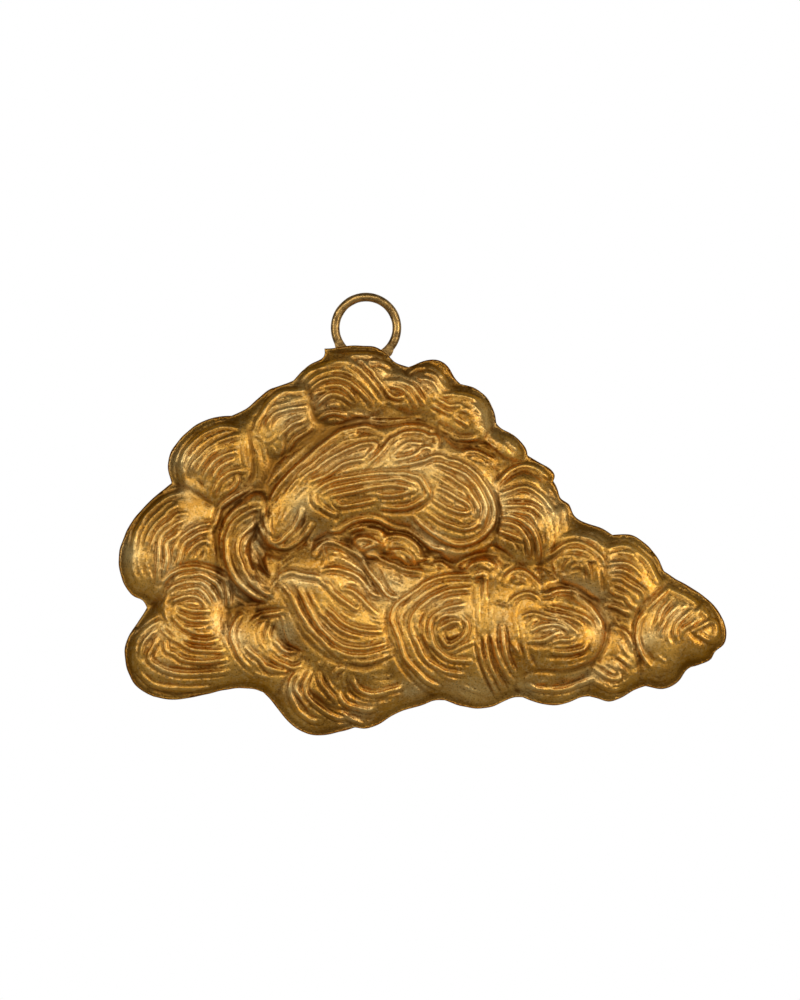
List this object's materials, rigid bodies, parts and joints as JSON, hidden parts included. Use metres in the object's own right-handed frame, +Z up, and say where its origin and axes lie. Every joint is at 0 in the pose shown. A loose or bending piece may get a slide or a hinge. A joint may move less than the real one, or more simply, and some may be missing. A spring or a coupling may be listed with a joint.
{
  "type": "milagro charm",
  "caption": "Hollow-backed embossed sheet-metal charm shaped as a heap of cloud scrolls, with a round wire ring soldered behind its top edge for hanging.",
  "frame": {"origin": "centre of the hanging ring, in the middle of its wire", "axes": "+Z up as the charm hangs in the picture, +X to the right seen from the front, -Y out of the embossed front"},
  "size_m": [0.0601, 0.0053, 0.0438],
  "materials": {
    "gilt_sheet": "embossed gold-coloured sheet, satin, worn bright on the crests and dark in the grooves",
    "ring_wire": "drawn wire with a brown patina",
    "solder": "dull hard solder, rounded and slightly grainy"
  },
  "bodies": {
    "root": {"plaque": "gilt_sheet", "hanging_ring": "ring_wire", "solder_left": "solder", "solder_right": "solder"}
  },
  "joints": []
}
